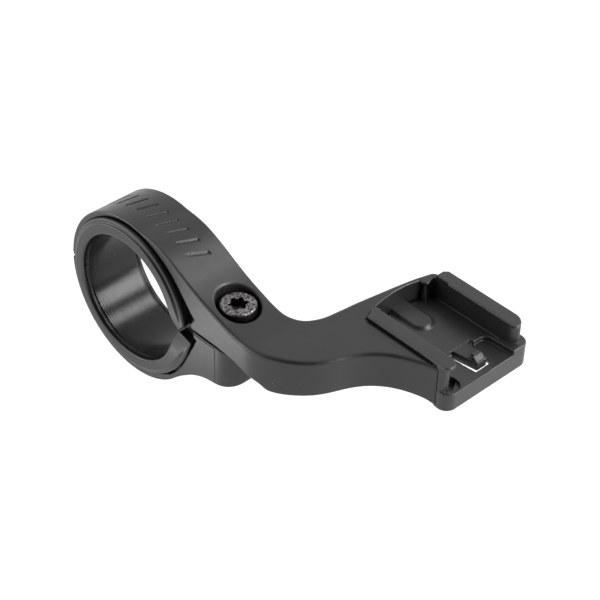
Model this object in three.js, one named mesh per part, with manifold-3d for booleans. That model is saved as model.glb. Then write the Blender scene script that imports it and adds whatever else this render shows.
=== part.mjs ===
// Out-front handlebar bracket for a cycling computer.
// Millimetres. The origin is the centre of the handlebar bore: +X points forward over the front wheel,
// +Y runs along the handlebar towards the stem, +Z points up.

import * as THREE from 'three';
import * as BufferGeometryUtils from 'three/addons/utils/BufferGeometryUtils.js';
import Module from 'manifold-3d';

const wasm = await Module();
wasm.setup();

// ---------- driving dimensions ----------

const GAP = 0.3; // clearance between pieces that touch
const RING_SEGMENTS = 72;
const HOLE_SEGMENTS = 32;

// handlebar clamp
const BAR_RADIUS = 15.9;
const LINER_OUTER_RADIUS = 17.6;
const FLANGE_RADIUS = 19.8;
const FLANGE_INNER_Y = 5.5;
const LINER_HALF_WIDTH = 8.6;
const CLAMP_BORE_RADIUS = LINER_OUTER_RADIUS + GAP;
const FLANGE_SEAT_RADIUS = 20.35;
const FLANGE_SEAT_Y = FLANGE_INNER_Y - GAP;
const BAND_RADIUS = 21.3;
const BAND_HALF_WIDTH = 7;
const SLIT_TOP = 3.3;
const SLIT_BOTTOM = 2.7;

// hinge at the back of the clamp
const HINGE_X = -22.5;
const KNUCKLE_RADIUS = 1.75;
const KNUCKLE_HALF_LENGTH = 3.75;
const CENTRE_KNUCKLE_HALF = 1.7;
const KNUCKLE_WEB_FRONT = -20.4;
const PIN_RADIUS = 0.8;
const PIN_HALF_LENGTH = 3.7;

// clamp screw, M5 with a cap head
const SCREW_X = 29.4;
const HEAD_RADIUS = 4.3;
const HEAD_TOP = 11.9;
const HEAD_HEIGHT = 5;
const SHANK_RADIUS = 2.5;
const SHANK_TIP = -5.2;
const SOCKET_RADIUS = 1.95;
const SOCKET_LOBE = 0.32;
const SOCKET_DEPTH = 2.8;
const COUNTERBORE_RADIUS = 5.2;
const COUNTERBORE_FLOOR = 5.5;
const SCREW_HOLE_RADIUS = 2.9;
const WASHER_RADIUS = 4.9;
const WASHER_BOTTOM = 5.7;
const WASHER_THICKNESS = 1;
const NUT_ACROSS_FLATS = 8;
const NUT_BOTTOM = -4.8;
const NUT_HEIGHT = 4;
const BOSS_RADIUS = BAND_HALF_WIDTH;

// arm
const ARM_TOP = 9.6;
const ARM_BOTTOM = 0;

// computer tray
const HOLLOW_BACK = 52.2;
const TRAY_FRONT = 75.7;
const TRAY_LEFT = 19.65;
const TRAY_RIGHT = 46.9;
const TRAY_CORNER = 2.7;
const TRAY_BOTTOM = -2.1;
const FLOOR_TOP = 4.05;
const FLOOR_THICKNESS = 1.5;
const STEP_TOP = 2.85;
const STEP_BACK = 67;
const STEP_RIGHT = 41.1;
const STEP_RADIUS = 2;
const RAIL_TOP = 10.4;
const RAIL_WIDTH = 3.8;
const RAIL_BACK = 50.3;
const RAIL_FRONT = 74.7;
const RAIL_END_RADIUS = 1.6;
const RIGHT_RAIL_OUTER = 45.3;
const LIP = 0.45;
const LIP_BACK = 54;
const LIP_BOTTOM = 8.4;
const SKIRT_WALL = 2;

// raised pad on the tray floor
const PAD_RADIUS = 3.1;
const PAD_Y = 32.9;
const PAD_BACK = 48.2;
const PAD_FRONT = 57.9;
const PAD_TOP = 4.9;

// latch tongue, cut out of the tray floor
const TONGUE_ROOT = 66.4;
const TONGUE_TIP = 73;
const TONGUE_LEFT = 30.9;
const TONGUE_RIGHT = 35.7;
const TONGUE_LEFT_TAPER = 1.1;
const TONGUE_RIGHT_TAPER = 0.7;
const LATCH_SLOT = 1;
const CATCH_BACK = 70.5;
const CATCH_CREST = 71.8;
const CATCH_TOP = 4.95;
const CATCH_LEFT = 32.05;

// ---------- geometry helpers ----------

function solidOf(geometry) {
  const bare = geometry.index ? geometry.toNonIndexed() : geometry.clone();
  bare.deleteAttribute('normal');
  bare.deleteAttribute('uv');
  const merged = BufferGeometryUtils.mergeVertices(bare, 1e-4);
  return new wasm.Manifold(new wasm.Mesh({
    numProp: 3,
    vertProperties: new Float32Array(merged.attributes.position.array),
    triVerts: new Uint32Array(merged.index.array),
  }));
}

function geometryOf(solid) {
  const mesh = solid.getMesh();
  const geometry = new THREE.BufferGeometry();
  geometry.setAttribute('position', new THREE.BufferAttribute(new Float32Array(mesh.vertProperties), 3));
  geometry.setIndex(new THREE.BufferAttribute(new Uint32Array(mesh.triVerts), 1));
  geometry.computeVertexNormals();
  return geometry;
}

function outline(points) {
  return new THREE.Shape(points.map(([a, b]) => new THREE.Vector2(a, b)));
}

// a plan outline in X and Y, standing from one height to another
function upright(shape, bottom, top) {
  const geometry = new THREE.ExtrudeGeometry(shape, { depth: top - bottom, bevelEnabled: false, curveSegments: 8 });
  geometry.translate(0, 0, bottom);
  return solidOf(geometry);
}

// a side outline in X and Z, running from one Y to another
function sideways(shape, from, to) {
  const geometry = new THREE.ExtrudeGeometry(shape, { depth: to - from, bevelEnabled: false, curveSegments: 8 });
  geometry.rotateX(Math.PI / 2);
  geometry.translate(0, to, 0);
  return solidOf(geometry);
}

function block([x0, x1], [y0, y1], [z0, z1]) {
  const geometry = new THREE.BoxGeometry(x1 - x0, y1 - y0, z1 - z0);
  geometry.translate((x0 + x1) / 2, (y0 + y1) / 2, (z0 + z1) / 2);
  return solidOf(geometry);
}

function cylinderZ(radius, x, y, bottom, top, segments = HOLE_SEGMENTS) {
  const geometry = new THREE.CylinderGeometry(radius, radius, top - bottom, segments);
  geometry.rotateX(Math.PI / 2);
  geometry.translate(x, y, (bottom + top) / 2);
  return solidOf(geometry);
}

function cylinderY(radius, x, from, to, segments = HOLE_SEGMENTS) {
  const geometry = new THREE.CylinderGeometry(radius, radius, to - from, segments);
  geometry.translate(x, (from + to) / 2, 0);
  return solidOf(geometry);
}

// points on an arc about (cx, cy), angles in degrees
function arc(cx, cy, radius, start, end, steps) {
  const points = [];
  for (let i = 0; i <= steps; i += 1) {
    const angle = THREE.MathUtils.degToRad(start + (end - start) * i / steps);
    points.push([cx + radius * Math.cos(angle), cy + radius * Math.sin(angle)]);
  }
  return points;
}

// a smooth line through a few points
function smooth(points, steps) {
  const curve = new THREE.SplineCurve(points.map(([a, b]) => new THREE.Vector2(a, b)));
  return curve.getPoints(steps).map((point) => [point.x, point.y]);
}

// the ring-shaped seat that one flange of the liner sits in, on the side of the clamp that sign names
function flangeSeat(radius, sign) {
  const inner = sign * FLANGE_SEAT_Y;
  const outer = sign * (BAND_HALF_WIDTH + 1);
  return cylinderY(radius, 0, Math.min(inner, outer), Math.max(inner, outer), RING_SEGMENTS);
}

// ---------- shared outlines ----------

// The arm seen from above: the clamp's straight sides, then the sweep across to the tray.
function armPlan() {
  const nearSide = smooth([[40, -7], [43.6, -6.4], [48.6, -3.6], [53.2, 0.4], [55.4, 4], [57, 7.9], [59, 11.6],
    [61.8, 14.6], [65.4, 16.8], [69.2, 18.2], [71.2, 18.7]], 30);
  const farSide = smooth([[46.9, 38], [46.2, 33.6], [45.3, 28.4], [44.4, 22.4], [43.9, 17.4], [43, 12.3],
    [40.9, 8.6], [37.4, 7.1], [34, 7]], 24);
  return outline([[-30, -BAND_HALF_WIDTH], ...nearSide, [71.2, 30], [50.2, 43.6], [48.1, 43.6],
    ...farSide, [-30, BAND_HALF_WIDTH]]);
}

// The arm seen from the side: the band over the bar, the slope down past the screw, and the level end.
function armProfile() {
  const crown = arc(0, 0, BAND_RADIUS, 180, 82, 20);
  const slope = smooth([[7, 20.75], [11.2, 19.55], [15, 17.95], [21, 15.45], [27, 13.2], [31, 11.75], [34.5, 10.6],
    [38, 9.8], [42, ARM_TOP]], 24);
  const underside = smooth([[58, ARM_BOTTOM], [50, -0.3], [46, -0.5], [44.2, 0.1], [41.4, 1.3], [38.5, 2.1], [34, 3.1],
    [31, SLIT_TOP]], 20);
  return outline([...crown, ...slope, [80, ARM_TOP], [80, ARM_BOTTOM], ...underside, [0, SLIT_TOP], [0, 0]]);
}

// The lower jaw seen from the side: half a band, a waist, and the boss that holds the nut.
function jawProfile() {
  const belly = arc(0, -0.35, BAND_RADIUS + 0.2, 181, 316, 28);
  const waist = smooth([[18.2, -12.9], [20.6, -11], [23.4, -9.3], [26, -8.3], [28.8, -7.85], [31.5, -7.45],
    [33.6, -6.9], [35.2, -5.9], [36.2, -4.3], [36.5, -2.2]], 18);
  return outline([...belly, ...waist, [36.5, 1.9], [34, 2.45], [31, SLIT_BOTTOM], [0, SLIT_BOTTOM], [0, -0.35]]);
}

// The back wall of the tray pocket bows away from the tray.
function bowedWall(shift) {
  return smooth([[48.3, 24.1], [47.7, 28], [47.4, 32], [47.7, 36], [48.4, 38.6]].map(([x, y]) => [x + shift, y]), 12);
}

function clampPlan() {
  return outline([[-30, -BAND_HALF_WIDTH], ...arc(SCREW_X, 0, BOSS_RADIUS, -90, 90, 20), [-30, BAND_HALF_WIDTH]]);
}

// ---------- pieces ----------

function bracketArm() {
  const knuckles = cylinderY(KNUCKLE_RADIUS, HINGE_X, -KNUCKLE_HALF_LENGTH, KNUCKLE_HALF_LENGTH)
    .add(block([HINGE_X, KNUCKLE_WEB_FRONT], [-KNUCKLE_HALF_LENGTH, KNUCKLE_HALF_LENGTH], [GAP / 2, KNUCKLE_RADIUS]));
  const seatNose = outline([[0, 19.5], ...smooth([[4.6, 19.85], [9.6, 18.1], [14.7, 14.9], [18.4, 11], [21.4, 7.4]], 14),
    [22.6, 6.4], [21.1, 4.7], [21.4, SLIT_TOP - 1], [0, SLIT_TOP - 1]]);
  const centreNotch = CENTRE_KNUCKLE_HALF + GAP;
  return sideways(armProfile(), -20, 60)
    .intersect(upright(armPlan(), -30, 30))
    .subtract(block([-30, -14], [-10, 10], [-5, GAP / 2]))
    .add(knuckles)
    .subtract(cylinderY(CLAMP_BORE_RADIUS, 0, -20, 20, RING_SEGMENTS))
    .subtract(flangeSeat(FLANGE_SEAT_RADIUS, -1))
    .subtract(flangeSeat(FLANGE_SEAT_RADIUS, 1))
    .subtract(sideways(seatNose, -BAND_HALF_WIDTH - 1, -FLANGE_SEAT_Y))
    .subtract(sideways(seatNose, FLANGE_SEAT_Y, BAND_HALF_WIDTH + 1))
    .subtract(cylinderY(KNUCKLE_RADIUS + GAP, HINGE_X, -centreNotch, centreNotch))
    .subtract(cylinderY(PIN_RADIUS + GAP, HINGE_X, -10, 10))
    .subtract(cylinderZ(COUNTERBORE_RADIUS, SCREW_X, 0, COUNTERBORE_FLOOR, 30))
    .subtract(cylinderZ(SCREW_HOLE_RADIUS, SCREW_X, 0, -10, 30))
    .subtract(trayPocket());
}

// the space in the arm's end that the tray sits in, with its bowed back wall and the tab at its corner
function trayPocket() {
  const side = TRAY_LEFT - GAP;
  return upright(outline([[80, side], [50.4, side], [48.7, 23.7], ...bowedWall(0),
    [49.6, 38.9], [49.8, 41.2], [48.6, 41.7], [50.4, 50], [80, 50]]), -10, 30);
}

function clampJaw() {
  const centreBarrel = cylinderY(KNUCKLE_RADIUS, HINGE_X, -CENTRE_KNUCKLE_HALF, CENTRE_KNUCKLE_HALF)
    .add(block([HINGE_X, KNUCKLE_WEB_FRONT], [-CENTRE_KNUCKLE_HALF, CENTRE_KNUCKLE_HALF], [-KNUCKLE_RADIUS, -GAP / 2]));
  const body = sideways(jawProfile(), -BAND_HALF_WIDTH, BAND_HALF_WIDTH).intersect(upright(clampPlan(), -30, 30));
  const noseSeat = outline([[0, -20.2], ...arc(0.4, -0.4, 20.6, -60, -6, 14), [22.9, -2], [22.9, 1.2],
    [21.9, 1.2], [21.9, 8], [0, 8]]);
  const nutPocket = new THREE.CylinderGeometry(NUT_ACROSS_FLATS / Math.sqrt(3) + 0.35, NUT_ACROSS_FLATS / Math.sqrt(3)
    + 0.35, 20, 6);
  nutPocket.rotateX(Math.PI / 2);
  nutPocket.translate(SCREW_X, 0, NUT_BOTTOM + NUT_HEIGHT + GAP - 10);
  let jaw = body
    .subtract(block([-30, -14], [-10, 10], [-GAP / 2, 5]))
    .subtract(cylinderY(KNUCKLE_RADIUS + GAP, HINGE_X, -KNUCKLE_HALF_LENGTH - GAP, -CENTRE_KNUCKLE_HALF))
    .subtract(cylinderY(KNUCKLE_RADIUS + GAP, HINGE_X, CENTRE_KNUCKLE_HALF, KNUCKLE_HALF_LENGTH + GAP))
    .add(centreBarrel)
    .subtract(cylinderY(CLAMP_BORE_RADIUS, 0, -20, 20, RING_SEGMENTS));
  for (const sign of [-1, 1]) {
    const inner = sign * FLANGE_SEAT_Y;
    const outer = sign * (BAND_HALF_WIDTH + 1);
    jaw = jaw
      .subtract(flangeSeat(FLANGE_SEAT_RADIUS, sign))
      .subtract(sideways(noseSeat, Math.min(inner, outer), Math.max(inner, outer)));
  }
  return jaw
    .subtract(cylinderY(PIN_RADIUS + GAP, HINGE_X, -10, 10))
    .subtract(cylinderZ(SCREW_HOLE_RADIUS, SCREW_X, 0, -20, 20))
    .subtract(solidOf(nutPocket));
}

// The liner is a flanged sleeve, cut into two halves with a wedge-shaped mouth at the front.
function linerSleeve() {
  const profile = [
    [BAR_RADIUS + 0.4, -LINER_HALF_WIDTH], [18.3, -LINER_HALF_WIDTH], [18.9, -8.1], [19.4, -7.9], [FLANGE_RADIUS, -7.3],
    [FLANGE_RADIUS, -FLANGE_INNER_Y], [LINER_OUTER_RADIUS, -FLANGE_INNER_Y], [LINER_OUTER_RADIUS, FLANGE_INNER_Y],
    [FLANGE_RADIUS, FLANGE_INNER_Y], [FLANGE_RADIUS, 7.3], [19.4, 7.9], [18.9, 8.1], [18.3, LINER_HALF_WIDTH],
    [BAR_RADIUS + 0.4, LINER_HALF_WIDTH], [BAR_RADIUS, LINER_HALF_WIDTH - 0.4], [BAR_RADIUS, 0.4 - LINER_HALF_WIDTH],
    [BAR_RADIUS + 0.4, -LINER_HALF_WIDTH],
  ].map(([radius, y]) => new THREE.Vector2(radius, y));
  const mouth = outline([[16.5, 0], [16.5 + 8 * Math.cos(-0.28), 8 * Math.sin(-0.28)], [26, 6],
    [16.5 + 8 * Math.cos(0.87), 8 * Math.sin(0.87)]]);
  return solidOf(new THREE.LatheGeometry(profile, RING_SEGMENTS)).subtract(sideways(mouth, -12, 12));
}

function linerHalf(sign) {
  const bottom = sign > 0 ? GAP / 2 : -30;
  const top = sign > 0 ? 30 : -GAP / 2;
  return linerSleeve().intersect(block([-30, 30], [-20, 20], [bottom, top]));
}

function clampScrew() {
  const profile = [[0, SHANK_TIP], [SHANK_RADIUS - 0.4, SHANK_TIP], [SHANK_RADIUS, SHANK_TIP + 0.5],
    [SHANK_RADIUS, HEAD_TOP - HEAD_HEIGHT], [HEAD_RADIUS, HEAD_TOP - HEAD_HEIGHT], [HEAD_RADIUS, HEAD_TOP - 0.4],
    [HEAD_RADIUS - 0.4, HEAD_TOP], [0, HEAD_TOP]].map(([radius, z]) => new THREE.Vector2(radius, z));
  const turned = new THREE.LatheGeometry(profile, 36);
  turned.rotateX(Math.PI / 2);
  turned.translate(SCREW_X, 0, 0);
  const lobes = [];
  for (let i = 0; i < 36; i += 1) {
    const angle = i / 36 * 2 * Math.PI;
    const radius = SOCKET_RADIUS + SOCKET_LOBE * Math.cos(6 * angle);
    lobes.push([SCREW_X + radius * Math.cos(angle), radius * Math.sin(angle)]);
  }
  return solidOf(turned).subtract(upright(outline(lobes), HEAD_TOP - SOCKET_DEPTH, HEAD_TOP + 1));
}

function screwWasher() {
  return cylinderZ(WASHER_RADIUS, SCREW_X, 0, WASHER_BOTTOM, WASHER_BOTTOM + WASHER_THICKNESS)
    .subtract(cylinderZ(SHANK_RADIUS + GAP, SCREW_X, 0, 0, 20));
}

function captiveNut() {
  const radius = NUT_ACROSS_FLATS / Math.sqrt(3);
  return cylinderZ(radius, SCREW_X, 0, NUT_BOTTOM, NUT_BOTTOM + NUT_HEIGHT, 6)
    .subtract(cylinderZ(SCREW_HOLE_RADIUS, SCREW_X, 0, -20, 20));
}

function hingePin() {
  return cylinderY(PIN_RADIUS, HINGE_X, -PIN_HALF_LENGTH, PIN_HALF_LENGTH, 20);
}

// the tongue seen from above, or with some clearance the window that it sits in
function tonguePlan(clearance) {
  const root = TONGUE_ROOT - (clearance ? GAP : 0);
  const tip = TONGUE_TIP + clearance;
  return outline([[root, TONGUE_LEFT - clearance], [tip, TONGUE_LEFT + TONGUE_LEFT_TAPER - clearance],
    [tip, TONGUE_RIGHT - TONGUE_RIGHT_TAPER + clearance], [root, TONGUE_RIGHT + clearance]]);
}

function latchTongue() {
  const catchSide = outline([[CATCH_BACK, FLOOR_TOP - 0.5], [CATCH_BACK, CATCH_TOP - 0.1], [CATCH_CREST, CATCH_TOP],
    [TONGUE_TIP - 0.2, FLOOR_TOP], [TONGUE_TIP - 0.2, FLOOR_TOP - 0.5]]);
  return upright(tonguePlan(0), FLOOR_TOP - FLOOR_THICKNESS, FLOOR_TOP)
    .add(sideways(catchSide, CATCH_LEFT, TONGUE_RIGHT - TONGUE_RIGHT_TAPER - 0.2));
}

// the tray seen from above, its back edge following the pocket
function trayPlan() {
  const left = TRAY_LEFT + TRAY_CORNER;
  const right = TRAY_RIGHT - TRAY_CORNER;
  const front = TRAY_FRONT - TRAY_CORNER;
  return outline([[50.75, TRAY_LEFT], ...arc(front, left, TRAY_CORNER, -90, 0, 6),
    ...arc(front, right, TRAY_CORNER, 0, 90, 6), [51.5, TRAY_RIGHT], [49.9, 44.6], [49.1, 42.2], [50.15, 41.4],
    [50, 38.6], [48.9, 38.2], ...bowedWall(GAP).reverse().slice(1), [49.05, 23.6]]);
}

// one rail, its front end rounded on both corners
function rail(inner, outer, backInner, backOuter) {
  const low = Math.min(inner, outer);
  const high = Math.max(inner, outer);
  return outline([[low === inner ? backInner : backOuter, low],
    ...arc(RAIL_FRONT - RAIL_END_RADIUS, low + RAIL_END_RADIUS, RAIL_END_RADIUS, -90, 0, 4),
    ...arc(RAIL_FRONT - RAIL_END_RADIUS, high - RAIL_END_RADIUS, RAIL_END_RADIUS, 0, 90, 4),
    [low === inner ? backOuter : backInner, high]]);
}

function computerTray() {
  const rightWall = RIGHT_RAIL_OUTER - RAIL_WIDTH + LIP;
  const leftRail = upright(rail(TRAY_LEFT + RAIL_WIDTH, TRAY_LEFT, 49.1, 50.7), 0, RAIL_TOP);
  const rightRail = upright(rail(rightWall, RIGHT_RAIL_OUTER, 50.8, RAIL_BACK), 0, RAIL_TOP);
  const rightLip = block([LIP_BACK, RAIL_FRONT - RAIL_END_RADIUS], [rightWall - LIP, rightWall + 0.5],
    [LIP_BOTTOM, RAIL_TOP]);
  const lowArea = outline([[80, TRAY_LEFT + RAIL_WIDTH + 0.6], [80, STEP_RIGHT],
    ...arc(STEP_BACK + STEP_RADIUS, STEP_RIGHT - STEP_RADIUS, STEP_RADIUS, 90, 180, 5),
    [STEP_BACK, 36.6], [65.4, 30], [64.6, TRAY_LEFT + RAIL_WIDTH + 0.6]]);
  const hollow = block([HOLLOW_BACK, 65.6], [TRAY_LEFT + SKIRT_WALL, TRAY_RIGHT - SKIRT_WALL],
    [TRAY_BOTTOM - 1, FLOOR_TOP - FLOOR_THICKNESS]);
  const frontHollow = block([65, TRAY_FRONT - 1.3], [TRAY_LEFT + SKIRT_WALL, TRAY_RIGHT - SKIRT_WALL],
    [TRAY_BOTTOM - 1, STEP_TOP - 1.1]);
  const tongueRoom = upright(tonguePlan(LATCH_SLOT), -10, STEP_TOP + 5);
  const pad = upright(outline([[PAD_BACK, PAD_Y - PAD_RADIUS],
    ...arc(PAD_FRONT - PAD_RADIUS, PAD_Y, PAD_RADIUS, -90, 90, 12), [PAD_BACK, PAD_Y + PAD_RADIUS]]),
  FLOOR_TOP - 0.5, PAD_TOP);
  return upright(trayPlan(), TRAY_BOTTOM, FLOOR_TOP)
    .subtract(upright(lowArea, STEP_TOP, 30))
    .add(leftRail)
    .add(rightRail)
    .add(rightLip)
    .subtract(hollow)
    .subtract(frontHollow)
    .add(pad)
    .subtract(tongueRoom);
}

// ---------- assembly ----------

const PLASTIC = { color: 0x2b2b2d, roughness: 0.5, metalness: 0 };
const LINER_PLASTIC = { color: 0x303032, roughness: 0.42, metalness: 0 };
const STEEL = { color: 0x6b6a68, roughness: 0.45, metalness: 0.9 };

const PIECES = [
  ['bracket_arm', bracketArm(), PLASTIC],
  ['computer_tray', computerTray(), PLASTIC],
  ['latch_tongue', latchTongue(), PLASTIC],
  ['clamp_jaw', clampJaw(), PLASTIC],
  ['liner_upper', linerHalf(1), LINER_PLASTIC],
  ['liner_lower', linerHalf(-1), LINER_PLASTIC],
  ['clamp_screw', clampScrew(), STEEL],
  ['screw_washer', screwWasher(), STEEL],
  ['captive_nut', captiveNut(), STEEL],
  ['hinge_pin', hingePin(), STEEL],
];

const group = new THREE.Group();
for (const [name, solid, look] of PIECES) {
  const mesh = new THREE.Mesh(geometryOf(solid), new THREE.MeshStandardMaterial(look));
  mesh.name = name;
  group.add(mesh);
}

export default group;
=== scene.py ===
"""The looks of an out-front handlebar bracket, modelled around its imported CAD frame.

Each piece is a smooth implicit shape (a distance that is negative inside it) worked out in millimetres in the
part's own frame, then turned into a mesh of small quads. Rounded joins and cuts give the moulded edges.
Where a side slopes, a plain factor below 1 brings its value back to about a true distance.
"""

import math

import bpy
import numpy as np
from mathutils import Matrix, Vector


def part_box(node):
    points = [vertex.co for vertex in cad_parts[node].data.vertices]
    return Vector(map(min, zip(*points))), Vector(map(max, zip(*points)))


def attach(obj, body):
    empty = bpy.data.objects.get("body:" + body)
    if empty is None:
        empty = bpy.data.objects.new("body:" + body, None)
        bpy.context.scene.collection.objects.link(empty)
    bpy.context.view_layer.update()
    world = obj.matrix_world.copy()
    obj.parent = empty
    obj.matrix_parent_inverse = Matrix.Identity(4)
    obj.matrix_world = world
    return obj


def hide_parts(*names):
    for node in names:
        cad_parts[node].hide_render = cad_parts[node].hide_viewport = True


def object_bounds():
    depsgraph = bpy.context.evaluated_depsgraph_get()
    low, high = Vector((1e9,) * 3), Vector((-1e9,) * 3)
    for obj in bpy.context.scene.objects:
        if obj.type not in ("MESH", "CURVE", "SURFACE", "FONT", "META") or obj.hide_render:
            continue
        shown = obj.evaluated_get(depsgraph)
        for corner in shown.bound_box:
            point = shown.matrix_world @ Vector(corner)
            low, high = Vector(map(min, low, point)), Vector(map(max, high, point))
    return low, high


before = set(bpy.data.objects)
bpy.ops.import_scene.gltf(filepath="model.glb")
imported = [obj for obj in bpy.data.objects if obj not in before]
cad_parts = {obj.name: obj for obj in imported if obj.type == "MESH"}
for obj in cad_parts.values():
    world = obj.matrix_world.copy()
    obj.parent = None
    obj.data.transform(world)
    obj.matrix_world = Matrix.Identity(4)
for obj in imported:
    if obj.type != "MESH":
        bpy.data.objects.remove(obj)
cad_low, cad_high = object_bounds()

MM = 0.001
FINE = 0.24  # size of a quad on the mouldings
FINER = 0.12  # size of a quad on the small parts
LINER_STEP = 0.18


# ---------- places read from the frame, in millimetres ----------


def box_mm(node):
    """The lowest and highest corner of a CAD node."""
    low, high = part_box(node)
    return np.array(low) / MM, np.array(high) / MM


ARM_LOW, ARM_HIGH = box_mm("bracket_arm")
JAW_LOW, JAW_HIGH = box_mm("clamp_jaw")
TRAY_LOW, TRAY_HIGH = box_mm("computer_tray")
TONGUE_LOW, TONGUE_HIGH = box_mm("latch_tongue")
LINER_HIGH = box_mm("liner_upper")[1]
SCREW_LOW, SCREW_HIGH = box_mm("clamp_screw")
WASHER_LOW, WASHER_HIGH = box_mm("screw_washer")
NUT_LOW, NUT_HIGH = box_mm("captive_nut")
PIN_LOW, PIN_HIGH = box_mm("hinge_pin")

GAP = 0.3

BAND_RADIUS = 21.3
BAND_HALF_WIDTH = JAW_HIGH[1]
BAR_RADIUS = 15.9
LINER_HALF_WIDTH = LINER_HIGH[1]
LINER_BODY_RADIUS = 17.6
FLANGE_RADIUS = LINER_HIGH[2]
FLANGE_INNER_Y = 5.5
CLAMP_BORE_RADIUS = LINER_BODY_RADIUS + GAP
SEAT_RADIUS = 20.4
SEAT_OPENS = math.radians(95)
JAW_SEAT_OPENS = math.radians(45)
SEAT_Y = FLANGE_INNER_Y - GAP
SLIT_TOP = 3.3
SLIT_BOTTOM = JAW_HIGH[2]

HINGE_X = (PIN_LOW[0] + PIN_HIGH[0]) / 2
KNUCKLE_RADIUS = 1.75
KNUCKLE_HALF_LENGTH = 3.75
CENTRE_KNUCKLE_HALF = 1.7
KNUCKLE_WEB_FRONT = -20.4
SEAM = 0.01  # half of the hair-thin gap left where the clamp is split at the back
SPLIT_FRONT = -10.0  # the split at the back lies behind this x
PIN_RADIUS = (PIN_HIGH[0] - PIN_LOW[0]) / 2

SCREW_X = (SCREW_LOW[0] + SCREW_HIGH[0]) / 2
HEAD_RADIUS = (SCREW_HIGH[0] - SCREW_LOW[0]) / 2
HEAD_TOP = SCREW_HIGH[2]
HEAD_HEIGHT = 5
SHANK_RADIUS = 2.5
THREAD_PITCH = 0.8
THREAD_DEPTH = 0.35
COUNTERBORE_RADIUS = 5.2
COUNTERBORE_FLOOR = 5.5
SCREW_HOLE_RADIUS = 2.9

ARM_TOP = 9.4
TRAY_BOTTOM = TRAY_LOW[2]
TRAY_FRONT = TRAY_HIGH[0]
TRAY_LEFT = TRAY_LOW[1]
TRAY_RIGHT = TRAY_HIGH[1]
TRAY_CORNER = 2.7
RAIL_TOP = TRAY_HIGH[2]
RAIL_FRONT = 75.0
RAIL_WIDTH = 3.8
RIGHT_RAIL_OUTER = 45.3
FLOOR_TOP = 4.05
FLOOR_THICKNESS = 1.5
STEP_TOP = 2.85


# ---------- distances ----------


def outline_distance(points, a, b):
    """Distance in a plane to a closed outline, negative inside it."""
    shape = np.broadcast_shapes(np.shape(a), np.shape(b))
    a = np.broadcast_to(a, shape).ravel()
    b = np.broadcast_to(b, shape).ravel()
    nearest = np.full(a.size, 1e9)
    inside = np.zeros(a.size, bool)
    for (a0, b0), (a1, b1) in zip(points, points[1:] + points[:1]):
        da, db = a1 - a0, b1 - b0
        if da == db == 0:
            continue
        wa, wb = a - a0, b - b0
        along = np.clip((wa * da + wb * db) / (da * da + db * db), 0, 1)
        nearest = np.minimum(nearest, (wa - da * along) ** 2 + (wb - db * along) ** 2)
        if db:
            inside ^= ((b0 > b) != (b1 > b)) & (wa < da * wb / db)
    return (np.sqrt(nearest) * np.where(inside, -1, 1)).reshape(shape)


def both(a, b, radius=0.0):
    """Inside a and inside b, with the outer edge between them rounded."""
    rounded = np.hypot(np.maximum(a + radius, 0), np.maximum(b + radius, 0))
    return np.minimum(np.maximum(a, b), -radius) + rounded


def cut(a, b, radius=0.0):
    """Inside a and outside b, with the edge between them rounded."""
    return both(a, -b, radius)


def either(a, b, radius=0.0):
    """Inside a or b, with a fillet in the corner between them."""
    return -both(-a, -b, radius)


def between(value, low, high):
    return np.maximum(low - value, value - high)


def disc(a, b, radius):
    return np.hypot(a, b) - radius


def rounded_rectangle(a, b, a_range, b_range, radius):
    """Distance to a rectangle with round corners."""
    da = np.abs(a - sum(a_range) / 2) - (a_range[1] - a_range[0]) / 2 + radius
    db = np.abs(b - sum(b_range) / 2) - (b_range[1] - b_range[0]) / 2 + radius
    return np.hypot(np.maximum(da, 0), np.maximum(db, 0)) + np.minimum(np.maximum(da, db), 0) - radius


def arc(ca, cb, radius, start, end, steps):
    """Points on an arc, angles in degrees."""
    angles = np.radians(np.linspace(start, end, steps + 1))
    return [(ca + radius * math.cos(t), cb + radius * math.sin(t)) for t in angles]


def smooth(points, steps):
    """A smooth line through a few points (a Catmull-Rom spline)."""
    pts = [np.array(p, float) for p in points]
    pts = [2 * pts[0] - pts[1]] + pts + [2 * pts[-1] - pts[-2]]
    line = []
    for i in range(1, len(pts) - 2):
        p0, p1, p2, p3 = pts[i - 1 : i + 3]
        for t in np.arange(steps) / steps:
            line.append(tuple(0.5 * (2 * p1 + (p2 - p0) * t + (2 * p0 - 5 * p1 + 4 * p2 - p3) * t**2
                                     + (3 * p1 - p0 - 3 * p2 + p3) * t**3)))
    return line + [tuple(pts[-2])]


# ---------- from a distance to a mesh ----------


def grid_axis(low, high, step):
    return low - 1.5 * step + step * np.arange(int((high - low) / step) + 5)


SLOPE_REACH = 0.02  # how far to each side a slope is measured


def gradient(field, points):
    """The slope of the distance at some points."""
    slopes = []
    for axis in range(3):
        ahead = points.copy()
        behind = points.copy()
        ahead[:, axis] += SLOPE_REACH
        behind[:, axis] -= SLOPE_REACH
        slopes.append((field(*ahead.T) - field(*behind.T)) / (2 * SLOPE_REACH))
    return np.stack(slopes, axis=1)


def onto_surface(field, points, slope):
    """The moves that take points near a surface onto it, along the slope there."""
    return -field(*points.T)[:, None] * slope / np.maximum((slope**2).sum(1), 0.25)[:, None]


def cell_number(cells, shape):
    return (cells[:, 0] * shape[1] + cells[:, 1]) * shape[2] + cells[:, 2]


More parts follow.
